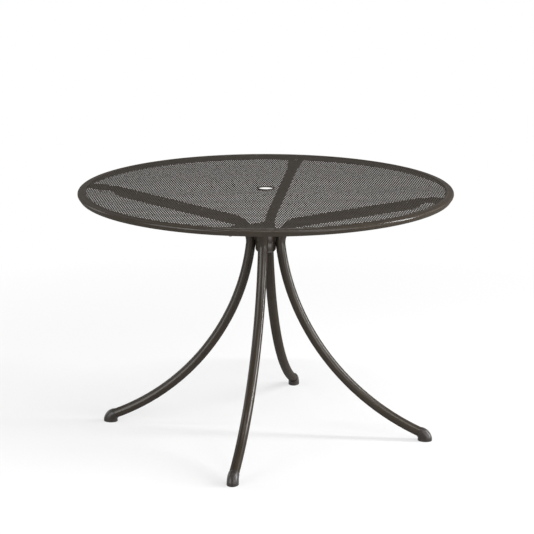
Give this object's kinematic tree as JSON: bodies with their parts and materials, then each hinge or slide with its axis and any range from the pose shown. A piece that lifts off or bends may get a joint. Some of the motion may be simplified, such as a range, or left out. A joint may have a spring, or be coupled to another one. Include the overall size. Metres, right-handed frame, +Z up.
{
  "type": "umbrella table",
  "caption": "Round outdoor dining table with an expanded-metal top in a steel hoop, bent tube legs and a central umbrella hole over a hub.",
  "frame": {"origin": "on the floor, on the table's axis, below the middle of the umbrella hole", "axes": "+Z up along the table's axis; the legs point along +X, +Y, -X and -Y"},
  "size_m": [1.0666, 1.0666, 0.7265],
  "materials": {
    "bronze_paint": "satin dark bronze powder coat",
    "dark_plastic": "matt moulded",
    "fastener_steel": "zinc plated"
  },
  "bodies": {
    "root": {"rim_hoop": "bronze_paint", "mesh_top": "bronze_paint", "umbrella_ring": "bronze_paint", "hub_sleeve": "bronze_paint", "hub_collar": "bronze_paint", "leg_right": "bronze_paint", "leg_back": "bronze_paint", "leg_left": "bronze_paint", "leg_front": "bronze_paint", "lug_right": "bronze_paint", "lug_back": "bronze_paint", "lug_left": "bronze_paint", "lug_front": "bronze_paint", "pole_bush": "dark_plastic", "foot_boots": "dark_plastic", "rim_bolts": "fastener_steel", "rim_nuts": "fastener_steel"}
  },
  "joints": []
}
